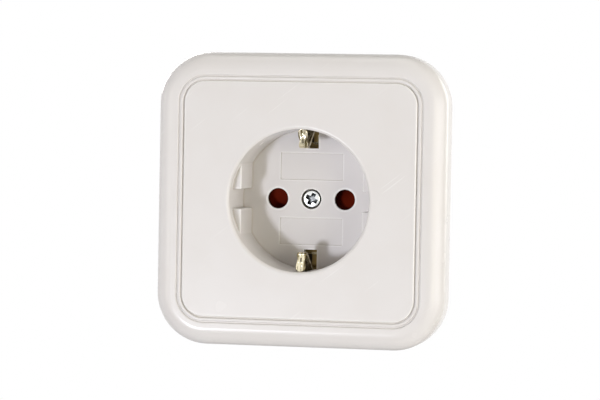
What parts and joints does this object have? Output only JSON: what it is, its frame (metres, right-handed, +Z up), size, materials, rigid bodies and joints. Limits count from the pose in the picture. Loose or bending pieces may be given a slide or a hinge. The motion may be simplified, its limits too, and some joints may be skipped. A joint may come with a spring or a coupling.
{
  "type": "wall socket",
  "caption": "Flush wall socket with a rounded white surround, round plug well, side earth clips, a turning shutter behind the pin holes, and claws to grip a wall box.",
  "frame": {"origin": "on the socket's axis, in the plane of the wall, which is the rear of the support ring and of the surround", "axes": "+X to the right and +Z up as seen from the front, +Y into the wall"},
  "size_m": [0.0804, 0.0429, 0.0804],
  "materials": {
    "white_shell": "glossy moulded white thermoset",
    "shutter_red": "moulded red-brown plastic",
    "dark_plastic": "moulded black plastic",
    "base_block": "matt brown moulded insulating block",
    "contact_brass": "stamped brass strip",
    "clip_nickel": "nickel-plated stamped brass, bright",
    "spring_steel": "drawn spring wire",
    "ring_zinc": "zinc-plated sheet steel",
    "screw_zinc": "bright zinc-plated steel"
  },
  "bodies": {
    "housing": {"frame": "white_shell", "cover_plate": "white_shell", "cover_screw": "screw_zinc", "shutter_spring": "spring_steel", "shutter_retainer": "dark_plastic", "base": "base_block", "left_contact": "contact_brass", "right_contact": "contact_brass", "left_terminal_screw": "screw_zinc", "right_terminal_screw": "screw_zinc", "left_clamp": "screw_zinc", "right_clamp": "screw_zinc", "earth_strap": "clip_nickel", "earth_terminal_screw": "screw_zinc", "earth_clamp": "screw_zinc", "strap_rivets": "screw_zinc", "support_ring": "ring_zinc", "ring_screws": "screw_zinc", "left_claw_pin": "screw_zinc", "right_claw_pin": "screw_zinc"},
    "shutter": {"shutter": "shutter_red"},
    "left_claw": {"left_claw": "ring_zinc", "left_claw_screw": "screw_zinc"},
    "right_claw": {"right_claw": "ring_zinc", "right_claw_screw": "screw_zinc"}
  },
  "joints": [
    {"name": "shutter_turn", "type": "hinge", "parent": "housing", "child": "shutter", "pos_m": [0, 0.0112, 0], "axis": [0, 1, 0], "range_deg": [0, 40], "stiffness_Nm_per_rad": 0.004, "springref_deg": -20.05, "deforming": ["shutter_spring"]},
    {"name": "left_claw_swing", "type": "hinge", "parent": "housing", "child": "left_claw", "pos_m": [-0.0239, 0.0026, 0], "axis": [0, 0, 1], "range_deg": [0, 10]},
    {"name": "right_claw_swing", "type": "hinge", "parent": "housing", "child": "right_claw", "pos_m": [0.0239, 0.0026, 0], "axis": [0, 0, -1], "range_deg": [0, 10]}
  ]
}
